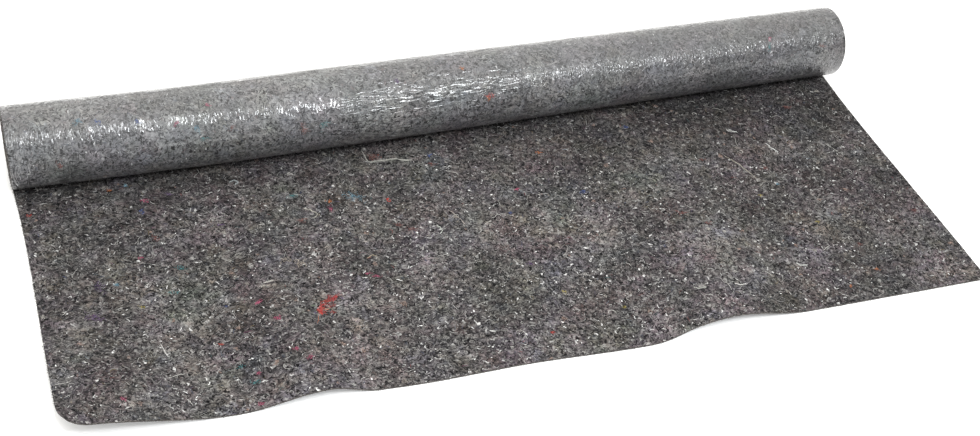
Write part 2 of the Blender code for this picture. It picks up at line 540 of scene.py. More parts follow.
FELT_LOOK = Look(
    tones=(
        (0.30, (0.0210, 0.0187, 0.0203)),
        (0.42, (0.0455, 0.0413, 0.0435)),
        (0.50, (0.0715, 0.0652, 0.0673)),
        (0.58, (0.1120, 0.1026, 0.1045)),
        (0.70, (0.2060, 0.1915, 0.1930)),
    ),
    contrast=0.45,
    tint=0.95,
    strokes=(
        (0.000, (0.003, 0.003, 0.0035), 0.95),
        (0.130, (0.012, 0.012, 0.013), 0.85),
        (0.260, (0.160, 0.155, 0.150), 0.55),
        (0.360, (0.270, 0.265, 0.258), 0.70),
        (0.410, (0.560, 0.555, 0.550), 0.90),
        (0.418, (0.085, 0.055, 0.052), 0.40),
        (0.430, (0.045, 0.056, 0.075), 0.40),
        (0.442, (0.000, 0.000, 0.000), 0.00),
    ),
    specks=(
        (0.000, (0.760, 0.760, 0.755), 1.00),
        (0.009, (0.003, 0.003, 0.004), 0.95),
        (0.110, (0.330, 0.325, 0.320), 0.75),
        (0.150, (0.000, 0.000, 0.000), 0.00),
    ),
)
FILM_LOOK = Look(
    tones=(
        (0.30, (0.050, 0.050, 0.054)),
        (0.42, (0.091, 0.090, 0.096)),
        (0.50, (0.126, 0.125, 0.132)),
        (0.58, (0.167, 0.166, 0.173)),
        (0.70, (0.263, 0.262, 0.270)),
    ),
    contrast=0.35,
    tint=0.55,
    strokes=(
        (0.000, (0.003, 0.003, 0.004), 0.95),
        (0.130, (0.016, 0.016, 0.018), 0.85),
        (0.290, (0.200, 0.202, 0.205), 0.50),
        (0.370, (0.300, 0.303, 0.306), 0.60),
        (0.390, (0.120, 0.070, 0.070), 0.35),
        (0.405, (0.060, 0.080, 0.120), 0.35),
        (0.420, (0.000, 0.000, 0.000), 0.00),
    ),
    specks=(
        (0.000, (0.560, 0.565, 0.570), 0.90),
        (0.010, (0.006, 0.006, 0.007), 0.90),
        (0.110, (0.290, 0.292, 0.295), 0.60),
        (0.130, (0.000, 0.000, 0.000), 0.00),
    ),
)
PATCH_TINTS = (
    (0.00, (1.12, 0.99, 0.93)),
    (0.18, (0.92, 0.98, 1.08)),
    (0.34, (1.00, 1.00, 1.00)),
    (0.50, (0.97, 1.04, 0.93)),
    (0.66, (1.10, 0.96, 1.00)),
    (0.82, (1.04, 1.02, 0.90)),
)
PATCHES = (  # scale, reach of their wavy edges, depth of tone, depth of tint, scale of their strands
    (42, 0.016, 1.25, 0.85, 640),
    (125, 0.008, 0.60, 0.51, 950),
)
STROKES = (  # scale, stretch, turn, radius, offset
    (270, 3.2, 0.25, 0.200, (0.31, 0.12, 0)),
    (275, 3.0, 0.95, 0.195, (1.27, 0.74, 0)),
    (280, 3.4, 1.55, 0.195, (2.53, 1.38, 0)),
    (270, 3.1, 2.15, 0.200, (3.71, 2.16, 0)),
    (275, 3.3, 2.80, 0.195, (4.39, 3.62, 0)),
    (430, 2.4, 0.60, 0.240, (5.17, 4.24, 0)),
    (440, 2.6, 1.90, 0.240, (6.83, 5.41, 0)),
)


SPECKS = (  # the same for these, which have no direction
    (190, 1.0, 0.0, 0.16, (7.2, 1.1, 0)),
    (340, 1.0, 0.0, 0.21, (8.6, 3.3, 0)),
)


def felt_layers(tree, place, look):
    """The cloth's colour, from its soft patches to its strokes and specks of single colours."""
    broad = tree.minus(tree.noise(place, 12, 3.0, 0.6), 0.5)
    tone = tree.math("MULTIPLY_ADD", tree.noise(place, 150, 3.0, 0.70, 0.5), 0.80, 0.10)
    tone = tree.plus(tone, tree.times(broad, 0.42))

    # Rag of one batch lies together and one way, so that the felt is patchy in tone and tint.
    waves = tree.field(place, 130.0, 2.0)
    shades = []
    for scale, reach, tone_depth, tint_depth, strand_scale in PATCHES:
        distance, random = tree.cells(tree.swung(place, waves, reach), scale)
        split = tree.add("SeparateColor", {0: random}).outputs
        inside = tree.ranged(distance, 0.10, 0.70, 1.0, 0.0)
        lit = tree.grey(tree.ranged(split[0], 0.0, 1.0, 0.55, 1.50))
        shades.append((tree.times(inside, tone_depth * look.contrast), lit))
        shades.append((tree.times(inside, tint_depth * look.tint), tree.ramp(split[1], PATCH_TINTS)[0]))
        strands = tree.minus(tree.streaks(place, split[2], strand_scale), 0.5)
        tone = tree.plus(tone, tree.times(strands, 0.55))
    colour = tree.ramp(tone, look.tones)[0]
    drift = tree.mix(1.0, tree.field(place, 17.0, 2.0), (2.0, 2.0, 2.0, 1), "MULTIPLY")
    shades.append((look.tint * 0.16, drift))
    for share, shade in shades:
        colour = tree.mix(share, colour, shade, "MULTIPLY")

    bent = tree.swung(place, tree.field(place, 190.0, 1.0), 0.008)
    for form in STROKES:
        colour = tree.dashes(colour, bent, form, look.strokes)
    for form in SPECKS:
        colour = tree.dashes(colour, bent, form, look.specks)
    return colour


def painted_light_and_blotches(tree, place):
    """Painted light and shade on the felt, by the metres from its left side and from the roll, with random
    blotches of tone.
    """
    x, y = tree.add("SeparateXYZ", {0: place}).outputs[:2]
    # Painted light: darker at the left side, brightest towards the middle, falling off to the right, and
    # darker next to the roll.
    lit = tree.times(tree.ranged(x, 0.0, 0.4, 0.5, 1.0), tree.ranged(x, 0.52, 0.92, 1.0, -0.15))
    lit = tree.plus(lit, tree.ranged(y, 0.0, 0.30, -0.45, 0.55))
    # Painted shade of the roll, on the felt next to it over the right half.
    painted_roll_shade = tree.times(tree.ranged(x, 0.40, 0.60), tree.ranged(y, 0.09, 0.15, 0.19, 0.0))
    level = tree.minus(tree.ranged(lit, -0.60, 1.55, 0.76, 1.13), painted_roll_shade)
    blotchy = tree.times(tree.ranged(x, 0.05, 0.45, 1.0, 0.25), tree.ranged(y, 0.05, 0.25, 1.0, 0.6))
    blotches = tree.ranged(tree.noise(place, 50, 2.0, 0.55), 0.3, 0.7, -0.20, 0.24)
    return tree.math("MULTIPLY_ADD", blotchy, blotches, level)


def felt_material(name):
    tree = Tree(name)
    place = tree.attribute("cloth_place")
    colour = felt_layers(tree, place, FELT_LOOK)
    # The felt's colour is darkened and lightened by painted light and shade, and by random blotches.
    colour = tree.mix(1.0, colour, tree.grey(painted_light_and_blotches(tree, place)), "MULTIPLY")
    micro = tree.noise(place, 1500, 2.0, 0.6)
    height = tree.math("POWER", tree.add("RGBToBW", {0: colour}).outputs[0], 0.4)
    height = tree.plus(height, tree.times(micro, 0.25))
    return tree.surface(
        {
            "Base Color": colour,
            "Normal": tree.bump(height, 0.0011),
            "Roughness": tree.ranged(micro, 0.3, 0.7, 0.85, 1.0),
            "Specular IOR Level": 0.08,
            "Sheen Weight": 0.03,
            "Sheen Roughness": 0.6,
        }
    )


HAZE_AND_SHEEN = (0.126, 0.126, 0.134, 1)  # the grey of the film's milky haze, and of the sheen painted over the top of the roll


def film_material(name):
    """Clear glossy film over the felt, crinkled round the roll, and along it where it is slack."""
    tree = Tree(name)
    place = tree.attribute("cloth_place")
    felt = felt_layers(tree, place, FILM_LOOK)
    x, arc = tree.add("SeparateXYZ", {0: place}).outputs[:2]
    left = tree.ranged(x, -0.20, -0.12, 1.0, 0.0)
    right = tree.ranged(x, 0.0, 0.14, 0.0, 1.0)
    middle = tree.minus(tree.minus(1.0, left), right)
    # The film's milky haze, random in strength, with a painted sheen: it grows towards the right and is
    # strongest over the top of the roll, where the film's reflection lies.
    haze_and_sheen = tree.ranged(tree.noise(place, 45, 3.0, 0.6), 0.3, 0.7, 0.04, 0.20)
    haze_and_sheen = tree.math("MULTIPLY_ADD", right, 0.16, haze_and_sheen)
    haze_and_sheen = tree.times(haze_and_sheen, tree.ranged(arc, 0.17, 0.20, 1.0, 0.25))
    # Painted falloff of the light: the film's colour darkens towards the roll's right end.
    painted_right_falloff = tree.grey(tree.ranged(x, 0.08, 0.40, 1.0, 0.83))

    hoops = tree.ridges(tree.scaled(place, (1, 0.26, 1)), 160)
    folds = tree.ridges(tree.scaled(place, (0.22, 1, 1)), 175)
    facets = tree.ridges(tree.scaled(place, (1, 0.6, 1)), 240)
    height = tree.times(hoops, tree.times(left, tree.ranged(x, -0.45, -0.33, 2.4, 1.0)))
    height = tree.plus(height, tree.times(folds, tree.times(middle, 2.0)))
    height = tree.plus(height, tree.times(facets, tree.math("MULTIPLY_ADD", right, 1.10, 0.26)))
    return tree.surface(
        {
            "Base Color": tree.mix(1.0, tree.mix(haze_and_sheen, felt, HAZE_AND_SHEEN), painted_right_falloff, "MULTIPLY"),
            "Normal": tree.bump(height, 0.0008),
            "Roughness": 0.42,
            "Specular IOR Level": 0.45,
            "Coat Weight": 1.0,
            "Coat Normal": tree.bump(height, 0.0011),
            "Coat Roughness": 0.06,
            "Coat IOR": 1.46,
        }
    )


def painted_shade_edge_material(name):
    """The cut through the felt: darker, as painted shade, with the fibres lying in layers."""
    tree = Tree(name)
    layers = tree.noise(tree.scaled(tree.attribute("cloth_place"), (1, 1, 4)), 420, 3.0, 0.6, 0.5)
    # Dark tones: painted shade on the cut.
    tones = ((0.35, (0.03, 0.028, 0.027)), (0.55, (0.10, 0.09, 0.085)), (0.75, (0.25, 0.24, 0.22)))
    return tree.surface(
        {
            "Base Color": tree.ramp(layers, tones)[0],
            "Normal": tree.bump(layers, 0.0008),
            "Roughness": 0.95,
            "Specular IOR Level": 0.15,
        }
    )


def fibre_material(name, coat):
    """Fibres of their own tints, a little worn, under a coat where film lies on them."""
    tree = Tree(name)
    worn = tree.noise(tree.add("NewGeometry").outputs["Position"], 900, 2.0, 0.6)
    wear = tree.ramp(worn, ((0.3, (0.62, 0.60, 0.58)), (0.6, (1, 1, 1))))[0]
    return tree.surface(
        {
            "Base Color": tree.mix(1.0, tree.attribute("tint", "Color"), wear, "MULTIPLY"),
            "Normal": tree.bump(worn, 0.0002),
            "Roughness": 0.75,
            "Specular IOR Level": 0.3,
            "Sheen Weight": 0.15 * (1 - coat),
            "Coat Weight": coat,
            "Coat Roughness": 0.10,
        }
    )


def floor_material(name):
    """White, with a faint glow that keeps the shadows light."""
    tree = Tree(name)
    place = tree.add("NewGeometry").outputs["Position"]
    tones = ((0.3, (0.90, 0.90, 0.90)), (0.7, (0.92, 0.92, 0.92)))
    return tree.surface(
        {
            "Base Color": tree.ramp(tree.noise(place, 0.7, 3.0, 0.5), tones)[0],
            "Normal": tree.bump(tree.noise(place, 160, 3.0, 0.6), 0.0001),
            "Roughness": 0.9,
            "Specular IOR Level": 0.1,
            "Emission Color": (1, 1, 1, 1),
            "Emission Strength": FLOOR_GLOW,
        }
    )


# ---------------- fibres


FIBRE_SIDES, FIBRE_POINTS, FUZZ_POINTS, YARN_POINTS = 3, 6, 5, 14


def unit(vectors):
    return vectors / np.maximum(np.linalg.norm(vectors, axis=-1, keepdims=True), 1e-9)


def tube_mesh(name, paths, radii, tints, material):
    """Closed tubes along paths[fibre, point], thinner at their ends, with one radius and tint each."""
    count, steps = paths.shape[:2]
    along = unit(np.gradient(paths, axis=1))
    chord = paths[:, -1] - paths[:, 0] + (1e-6, 0, 0)
    aside = np.repeat(np.cross(chord, (0.13, 0.21, 1.0))[:, None], steps, axis=1)
    aside = unit(aside - along * (aside * along).sum(axis=2, keepdims=True))
    over = np.cross(aside, along)
    angle = np.arange(FIBRE_SIDES) * math.tau / FIBRE_SIDES
    ring = aside[:, :, None] * np.cos(angle)[:, None] + over[:, :, None] * np.sin(angle)[:, None]
    thickness = radii[:, None] * np.minimum(1, 0.45 + 2.2 * np.sin(np.linspace(0, math.pi, steps)))
    points = paths[:, :, None] + ring * thickness[:, :, None, None]
    index = np.arange(count * steps * FIBRE_SIDES).reshape(count, steps, FIBRE_SIDES)
    here, after = index[:, :-1], index[:, 1:]
    nearer, further = np.roll(here, -1, axis=2), np.roll(after, -1, axis=2)
    walls = np.stack([here, nearer, further, after], axis=-1).reshape(-1, 4)
    made = mesh_object(name, points.reshape(-1, 3), [walls, index[:, 0, ::-1], index[:, -1]], [material])
    store(made, "tint", np.repeat(tints, steps * FIBRE_SIDES, axis=0))
    return made


def mostly_low(rng, low, high, count, power=2):
    """Random values that lie nearer to the low end the higher the power is."""
    return rng.uniform(0, 1, count) ** power * (high - low) + low


def walked(headings, length):
    """Flat lines [fibre, point, (along x, along y)] from nought, with a heading for each step."""
    step = length / headings.shape[1]
    moves = np.stack([np.cos(headings), np.sin(headings)], axis=-1) * step[:, None, None]
    return np.concatenate([np.zeros((len(moves), 1, 2)), np.cumsum(moves, axis=1)], axis=1)


def curly(rng, count, points, length, curl):
    """Flat lines that bend as they like, and more with more curl."""
    heading = rng.uniform(0, math.tau, (count, 1))
    drift = rng.normal(0, curl, (count, 1))
    wander = np.cumsum(rng.normal(0, curl, (count, points - 1)), axis=1)
    return walked(heading + drift * np.arange(points - 1) + wander, length)


def on_sheet(flat, radius, lift):
    """Lays flat lines, in metres from the left side and from the roll, on the felt."""
    across = np.clip(flat[..., 0] / CLOTH_WIDTH, 0.001, 0.999)
    along = np.clip(flat[..., 1] / LOOSE_RIGHT, 0.02, 0.998)
    arch = np.sin(np.linspace(0, math.pi, flat.shape[1])) * lift[:, None]
    return sheet_top(across, along, arch + radius[:, None] * 0.2)


def scatter(rng, count, points, length, curl):
    """Flat curly lines all over the felt."""
    lines = curly(rng, count, points, length, curl)
    start = np.stack([rng.uniform(0, CLOTH_WIDTH, count), rng.uniform(0.01, LOOSE_RIGHT, count)], axis=1)
    return lines + start[:, None]


class FibreKind(NamedTuple):
    """Loose fibres all over the felt, most of them nearer to the shortest and the thinnest."""

    name: str
    count: int
    shortest: float
    longest: float
    thinnest: float
    thickest: float
    curl: float
    lift: float  # of the middle of the most arched ones
    colours: tuple


FIBRE_KINDS = (
    FibreKind(
        "pale_fibres", 3000, 0.003, 0.011, 0.00012, 0.00030, 0.26, 0.0008,
        ((0.34, 0.335, 0.33), (0.26, 0.255, 0.25), (0.48, 0.475, 0.47), (0.18, 0.175, 0.17)),
    ),
    FibreKind(
        "dark_fibres", 3700, 0.003, 0.010, 0.00018, 0.00052, 0.26, 0.0006,
        ((0.004, 0.004, 0.005), (0.010, 0.010, 0.010), (0.018, 0.016, 0.016), (0.008, 0.009, 0.014)),
    ),
    FibreKind(
        "tinted_fibres", 380, 0.003, 0.009, 0.00010, 0.00024, 0.3, 0.0007,
        (
            (0.30, 0.07, 0.06), (0.06, 0.09, 0.20), (0.05, 0.15, 0.16), (0.24, 0.18, 0.08),
            (0.20, 0.08, 0.14), (0.20, 0.26, 0.32), (0.11, 0.09, 0.18),
        ),
    ),
)


def make_fibres(kind, seed, material):
    rng = np.random.default_rng(seed)
    length = mostly_low(rng, kind.shortest, kind.longest, kind.count, 1.6)
    radius = mostly_low(rng, kind.thinnest, kind.thickest, kind.count)
    flat = scatter(rng, kind.count, FIBRE_POINTS, length, kind.curl)
    paths = on_sheet(flat, radius, mostly_low(rng, 0, kind.lift, kind.count))
    tints = np.array(kind.colours)[rng.integers(0, len(kind.colours), kind.count)]
    tints = tints * rng.uniform(0.75, 1.15, (kind.count, 1))
    return tube_mesh(kind.name, paths, radius, tints, material)


COLOURS = {
    "red": (0.74, 0.055, 0.030),
    "orange": (0.72, 0.22, 0.05),
    "pink": (0.60, 0.10, 0.22),
    "rust": (0.26, 0.065, 0.050),
    "blue": (0.05, 0.12, 0.42),
    "sky": (0.20, 0.42, 0.55),
    "teal": (0.04, 0.26, 0.28),
    "violet": (0.18, 0.09, 0.26),
    "yellow": (0.60, 0.48, 0.10),
    "beige": (0.58, 0.50, 0.42),
}


class Tuft(NamedTuple):
    """Coloured fibres that lie together on the felt."""

    colour: str
    x: float
    y: float
    length: float
    heading: float  # degrees from +X
    thickness: float = 0.00021
    density: float = 1.0


TUFTS = (
    ("red", -0.2320, -0.0880, 0.012, 40, 0.00018, 1.7),
    ("rust", -0.2250, -0.0800, 0.012, 30, 0.00016, 0.9),
    ("orange", -0.406, 0.130, 0.0050, -12),
    ("sky", -0.388, 0.134, 0.0055, -12),
    ("pink", -0.373, 0.107, 0.0066, -12),
    ("blue", -0.379, 0.091, 0.0055, -100),
    ("violet", -0.346, 0.111, 0.0066, -13),
    ("rust", -0.374, 0.049, 0.0077, -67),
    ("red", -0.491, 0.110, 0.0050, -12),
    ("teal", -0.356, -0.000, 0.0077, -13),
    ("teal", -0.369, -0.031, 0.0066, -14),
    ("sky", -0.421, -0.007, 0.0066, -13),
    ("violet", -0.438, -0.006, 0.0130, -65, 0.00016, 0.8),
    ("violet", -0.449, -0.045, 0.0180, -65, 0.00016, 0.9),
    ("yellow", -0.404, -0.042, 0.0044, -14),
    ("pink", -0.393, 0.024, 0.0055, -13),
    ("pink", -0.292, -0.069, 0.0060, 40, 0.00026, 1.4),
    ("pink", -0.280, -0.096, 0.0066, -13, 0.00026, 1.4),
    ("beige", -0.330, -0.027, 0.0066, -13),
    ("blue", -0.324, -0.063, 0.0044, -14),
    ("beige", -0.252, -0.014, 0.0099, -13),
    ("beige", -0.236, -0.021, 0.0132, -14),
    ("beige", -0.203, -0.110, 0.0088, -14),
    ("sky", -0.155, 0.064, 0.0165, -33, 0.00020, 1.3),
    ("orange", -0.183, 0.063, 0.0055, -13),
    ("pink", -0.185, 0.051, 0.0088, -70, 0.00018, 0.7),
    ("red", -0.120, 0.051, 0.0060, -71),
    ("rust", -0.120, 0.011, 0.0077, -13),
    ("rust", -0.108, 0.001, 0.0077, -13),
    ("pink", -0.165, -0.057, 0.0060, -13),
    ("pink", -0.173, -0.051, 0.0044, -13),
    ("blue", -0.051, 0.111, 0.0055, -109),
    ("rust", -0.055, 0.097, 0.0077, -12),
    ("rust", -0.115, 0.123, 0.0099, -12, 0.00026, 1.5),
    ("pink", 0.027, 0.036, 0.0055, -13),
    ("orange", 0.075, 0.090, 0.0044, -12),
    ("blue", 0.007, 0.001, 0.0044, -12),
    ("violet", -0.001, -0.076, 0.0055, -13),
    ("rust", 0.421, 0.104, 0.0077, -12),
    ("rust", 0.265, 0.037, 0.0055, -12),
    ("rust", 0.335, 0.007, 0.0066, -12),
    ("rust", 0.198, -0.045, 0.0088, -13),
    ("rust", 0.218, -0.068, 0.0066, -13),
    ("blue", 0.102, 0.015, 0.0077, -12),
    ("blue", 0.198, 0.111, 0.0066, -12),
    ("sky", 0.337, -0.021, 0.0044, -12),
    ("yellow", 0.306, -0.034, 0.0044, -12),
    ("yellow", 0.351, -0.089, 0.0044, -13),
    ("pink", -0.262, -0.156, 0.0060, -14),
    ("pink", -0.273, -0.142, 0.0055, -14),
    ("red", -0.339, -0.110, 0.0040, -14),
    ("pink", -0.313, -0.157, 0.0055, -14),
    ("teal", -0.318, -0.166, 0.0066, -14),
    ("pink", -0.319, -0.192, 0.0055, -14),
    ("red", -0.014, -0.174, 0.0040, -14),
    ("yellow", 0.020, -0.124, 0.0044, -13),
    ("yellow", 0.074, -0.159, 0.0044, -13),
    ("pink", -0.441, -0.164, 0.0055, -14),
    ("teal", -0.326, -0.143, 0.0055, -14),
    ("orange", 0.378, -0.172, 0.0050, -14),
    ("orange", 0.334, -0.188, 0.0044, -13),
    ("rust", 0.381, -0.133, 0.0055, -13),
    ("rust", 0.479, -0.098, 0.0077, -12),
    ("teal", -0.219, 0.079, 0.0088, -13),
    ("rust", -0.221, 0.040, 0.0088, -13),
    ("violet", -0.305, 0.053, 0.0055, -13),
)
TUFTS = [Tuft(*row) for row in TUFTS]


class Yarn(NamedTuple):
    """A thicker thread lying on the felt, through points (x, y)."""

    points: tuple
    radius: float
    colour: tuple
    strands: int = 3
    spread: float = 0.00025


WHITE, CREAM = (0.82, 0.82, 0.81), (0.62, 0.57, 0.50)
YARNS = (
    Yarn(
        (
            (-0.1243, 0.1372), (-0.1235, 0.1284), (-0.1242, 0.1182), (-0.1213, 0.1125),
            (-0.1110, 0.1154), (-0.1038, 0.1122), (-0.0907, 0.1162), (-0.0816, 0.1074),
            (-0.0728, 0.1090),
        ),
        0.00030, (0.60, 0.585, 0.55), 5, 0.00045,
    ),
    Yarn(
        ((0.2961, 0.0391), (0.3016, 0.0289), (0.3075, 0.0168), (0.3120, 0.0051), (0.3154, -0.0062)),
        0.00030, CREAM,
    ),
    Yarn(((0.3238, 0.0814), (0.3261, 0.0753), (0.3336, 0.0737)), 0.00045, WHITE),
    Yarn(((0.3588, 0.0479), (0.3604, 0.0383), (0.3667, 0.0295)), 0.00045, WHITE),
    Yarn(((0.2913, -0.1420), (0.2946, -0.1475), (0.3033, -0.1480)), 0.00045, WHITE),
    Yarn(((0.1543, -0.1558), (0.1586, -0.1610), (0.1664, -0.1614)), 0.00040, WHITE),
    Yarn(((0.1985, -0.1644), (0.2039, -0.1682), (0.2141, -0.1662)), 0.00040, WHITE),
    Yarn(((-0.0796, 0.0019), (-0.0779, -0.0032), (-0.0762, -0.0083), (-0.0798, -0.0121)), 0.00045, WHITE),
    Yarn(((-0.0591, 0.0211), (-0.0547, 0.0137), (-0.0519, 0.0051), (-0.0486, -0.0052)), 0.00028, CREAM),
    Yarn(
        ((-0.2131, 0.0573), (-0.2073, 0.0544), (-0.2033, 0.0488), (-0.2010, 0.0451), (-0.2064, 0.0416)),
        0.00034, (0.66, 0.62, 0.57),
    ),
    Yarn(((-0.1679, -0.0297), (-0.1616, -0.0267), (-0.1569, -0.0293)), 0.00045, (0.50, 0.44, 0.30)),
    Yarn(((-0.2815, -0.0428), (-0.2763, -0.0425), (-0.2698, -0.0410)), 0.00040, (0.62, 0.60, 0.56)),
    Yarn(
        ((-0.2808, 0.1155), (-0.2749, 0.1175), (-0.2704, 0.1132), (-0.2767, 0.1097)),
        0.00034, (0.60, 0.66, 0.68),
    ),
)
RED, SCARLET, PALE_YELLOW = (0.62, 0.045, 0.030), (0.50, 0.035, 0.030), (0.62, 0.56, 0.30)
DARK = (0.016, 0.016, 0.018)
WISPS = (
    Yarn(
        (
            (-0.2117, -0.0728), (-0.2177, -0.0756), (-0.2212, -0.0789), (-0.2280, -0.0789),
            (-0.2343, -0.0831), (-0.2365, -0.0908), (-0.2349, -0.0959),
        ),
        0.00021, RED, 9, 0.00210,
    ),
    Yarn(((-0.2174, -0.0854), (-0.2231, -0.0875), (-0.2269, -0.0861)), 0.00022, SCARLET, 11, 0.0015),
    Yarn(((-0.2216, -0.0711), (-0.2210, -0.0762), (-0.2221, -0.0801)), 0.00020, SCARLET, 7, 0.0014),
    Yarn(((-0.2201, -0.0951), (-0.2253, -0.0948)), 0.00022, SCARLET, 6, 0.0011),
    Yarn(
        ((-0.2362, -0.0893), (-0.2353, -0.0937), (-0.2336, -0.0952)),
        0.00026, (0.70, 0.06, 0.035), 14, 0.0010,
    ),
    Yarn(
        ((-0.2212, -0.0789), (-0.2245, -0.0801), (-0.2280, -0.0789)),
        0.00024, (0.70, 0.10, 0.04), 8, 0.0009,
    ),
    Yarn(
        ((-0.2377, -0.0965), (-0.2402, -0.1036), (-0.2424, -0.1095)),
        0.00020, (0.60, 0.16, 0.06), 2, 0.00015,
    ),
    Yarn(((-0.2310, -0.0845), (-0.2268, -0.0888)), 0.00028, DARK, 9, 0.0012),
    Yarn(((-0.2252, -0.0915), (-0.2212, -0.0872)), 0.00026, DARK, 7, 0.0011),
    Yarn(((-0.2190, -0.0800), (-0.2140, -0.0745)), 0.00024, (0.68, 0.055, 0.032), 9, 0.0013),
    Yarn(
        ((-0.2310, -0.0898), (-0.2272, -0.0910), (-0.2235, -0.0889), (-0.2215, -0.0927)),
        0.00020, PALE_YELLOW, 3, 0.0002,
    ),
    Yarn(((-0.2099, -0.0775), (-0.2083, -0.0793)), 0.00026, (0.14, 0.09, 0.24), 4, 0.0005),
    Yarn(((-0.2415, -0.0934), (-0.2398, -0.0950)), 0.00024, (0.13, 0.09, 0.22), 4, 0.0005),
    Yarn(((-0.2417, -0.0832), (-0.2380, -0.0849)), 0.00022, (0.16, 0.26, 0.10), 3, 0.0003),
    Yarn(
        ((-0.2057, -0.1062), (-0.2034, -0.1123), (-0.1987, -0.1107), (-0.2018, -0.1140)),
        0.00034, (0.66, 0.58, 0.58), 10, 0.0012,
    ),
    Yarn(
        ((-0.3945, -0.0939), (-0.3938, -0.1010), (-0.3918, -0.1095), (-0.3905, -0.1125)),
        0.00034, WHITE, 3, 0.0004,
    ),
    Yarn(((-0.4052, -0.0806), (-0.4044, -0.0837)), 0.00040, WHITE, 3, 0.0004),
    Yarn(((-0.3252, -0.0611), (-0.3218, -0.0636)), 0.00045, (0.004, 0.004, 0.006), 5, 0.0005),
    Yarn(((-0.3226, -0.0628), (-0.3214, -0.0639)), 0.00036, WHITE, 2, 0.0002),
)


class FilmTuft(NamedTuple):
    """Coloured fibres pressed flat against the film, at x and a distance round the roll."""

    colour: str
    x: float
    arc: float
    length: float


FILM_TUFTS = (
    ("red", 0.020, 0.1904, 0.0085),
    ("orange", 0.018, 0.1925, 0.0050),
    ("sky", -0.428, 0.1593, 0.0077),
    ("blue", -0.409, 0.1617, 0.0055),
    ("sky", -0.310, 0.1816, 0.0066),
    ("pink", -0.295, 0.1570, 0.0044),
    ("violet", -0.086, 0.1579, 0.0055),
    ("orange", -0.007, 0.1533, 0.0044),
    ("pink", -0.331, 0.1736, 0.0044),
    ("teal", -0.304, 0.1934, 0.0066),
    ("rust", -0.452, 0.2045, 0.0077),
    ("rust", -0.197, 0.1987, 0.0099),
    ("rust", -0.274, 0.1854, 0.0055),
    ("teal", -0.173, 0.1962, 0.0099),
    ("blue", -0.369, 0.1667, 0.0055),
    ("rust", 0.465, 0.1840, 0.0066),
    ("pink", 0.393, 0.1677, 0.0044),
    ("teal", 0.390, 0.1778, 0.0066),
    ("blue", 0.150, 0.1050, 0.0066),
    ("red", -0.120, 0.0800, 0.0066),
    ("teal", 0.310, 0.0600, 0.0077),
    ("orange", -0.360, 0.0700, 0.0055),
    ("pink", 0.020, 0.0950, 0.0055),
)
FILM_TUFTS = [FilmTuft(*row) for row in FILM_TUFTS]


NEP_COLOURS = (
    (0.55, 0.52, 0.48),
    (0.66, 0.64, 0.62),
    (0.40, 0.36, 0.33),
    (0.02, 0.02, 0.022),
    (0.46, 0.33, 0.28),
)
EDGE_COLOURS = ((0.10, 0.09, 0.09), (0.30, 0.28, 0.26), (0.52, 0.50, 0.47), (0.03, 0.03, 0.03))
END_COLOURS = ((0.10, 0.09, 0.09), (0.26, 0.24, 0.22), (0.45, 0.43, 0.40), (0.03, 0.03, 0.03))


def from_roll(x, y):
    """Places in the CAD's frame as metres from the left side and from the roll."""
    along = (AXIS_Y + bow(x) - y) * LOOSE_RIGHT / loose_length(x)
    return np.stack([x + CLOTH_WIDTH / 2, along], axis=-1)


def bunch(rng, centre, heading, length, width, count, shortest, longest, curl):
    """Flat curly lines gathered round a place."""
    lines = curly(rng, count, FIBRE_POINTS, rng.uniform(shortest, longest, count), curl)
    forward = np.array((math.cos(heading), math.sin(heading)))
    aside = np.array((-forward[1], forward[0]))
    offset = rng.normal(0, length / 3, (count, 1)) * forward
    offset = offset + rng.normal(0, width / 3, (count, 1)) * aside
    return lines - lines.mean(axis=1, keepdims=True) + offset[:, None] + centre


# Each of these four gives flat lines with their radii and tints.


def tuft_lines(rng, tuft):
    """A tuft's."""
    count = int((5 + 1500 * tuft.length) * tuft.density)
    reach = 0.25 * tuft.length + 0.0010
    centre, heading = from_roll(tuft.x, tuft.y), -math.radians(tuft.heading)
    lines = bunch(rng, centre, heading, tuft.length, 0.6 * tuft.length, count, reach, 2 * reach, 0.5)
    radii = rng.uniform(0.55, 1.0, count) * tuft.thickness
    tints = np.array(COLOURS[tuft.colour]) * rng.uniform(0.5, 1.0, (count, 1))
    return lines, radii, tints + rng.uniform(0, 0.06, (count, 1))


def nep_lines(rng):
    """A knot's, somewhere on the felt."""
    centre = np.array((rng.uniform(0, CLOTH_WIDTH), rng.uniform(0.02, LOOSE_RIGHT)))
    size = rng.uniform(0.0012, 0.0042)
    count = int(4 + 1600 * size)
    lines = bunch(rng, centre, rng.uniform(0, 3), size, size, count, size, 2.2 * size, 0.7)
    radii = rng.uniform(0.00010, 0.00022, count)
    shade = np.array(NEP_COLOURS[rng.integers(0, len(NEP_COLOURS))])
    return lines, radii, shade * rng.uniform(0.7, 1.2, (count, 1))


def strand_lines(rng, yarn, points):
    """A thread's or wisp's, which is one line with every strand a little beside it."""
    line = spread_over(from_roll(*np.transpose(yarn.points)), points)
    line[1:-1] = (line[:-2] + 2 * line[1:-1] + line[2:]) / 4
    lines = line + rng.normal(0, 0.0003, (1, *line.shape))
    lines = lines + rng.normal(0, yarn.spread, (yarn.strands, *line.shape))
    radii = yarn.radius * np.linspace(0.9, 0.5, yarn.strands)
    tints = np.array([yarn.colour]) * rng.uniform(0.5, 1.05, (yarn.strands, 1))
    return lines, radii, tints + rng.uniform(0, 0.05, (yarn.strands, 3))


